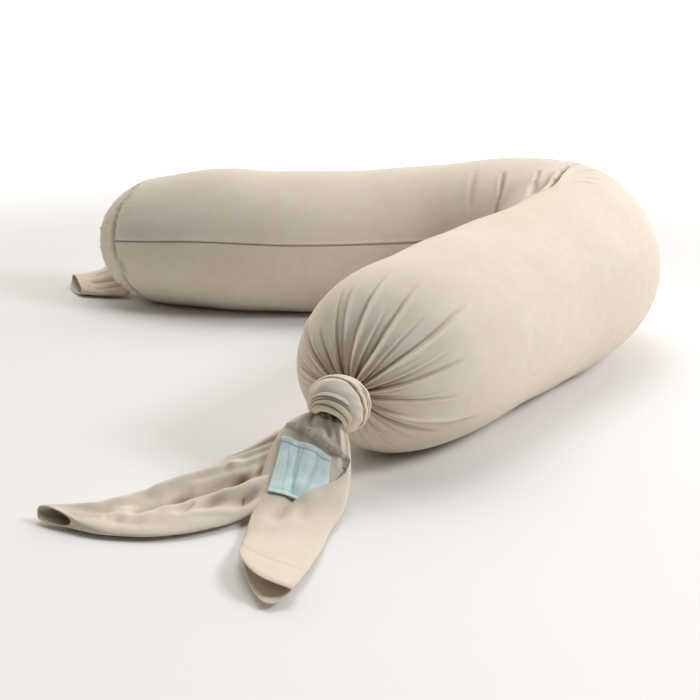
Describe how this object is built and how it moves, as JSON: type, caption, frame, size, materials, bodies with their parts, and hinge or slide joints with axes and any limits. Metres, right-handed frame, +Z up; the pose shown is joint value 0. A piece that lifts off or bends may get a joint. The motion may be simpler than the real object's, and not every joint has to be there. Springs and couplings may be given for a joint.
{
  "type": "pregnancy pillow",
  "caption": "Long filled body pillow bent into a V, its jersey cover gathered and knotted at each end with loose tails and a bare woven label.",
  "frame": {"origin": "on the surface it lies on, under the middle of its bounding box", "axes": "+Z up; -Y is the side the knotted end with the label points to; the bend of the V points towards +X"},
  "size_m": [1.026, 1.3989, 0.2784],
  "materials": {
    "sand_jersey": "matt cotton jersey, sand beige",
    "mint_satin": "soft satin tape, mint"
  },
  "bodies": {
    "root": {"pillow_body": "sand_jersey", "front_knot": "sand_jersey", "rear_knot": "sand_jersey", "front_tail_left": "sand_jersey", "front_tail_right": "sand_jersey", "rear_tail_left": "sand_jersey", "rear_tail_right": "sand_jersey", "label": "mint_satin"}
  },
  "joints": []
}
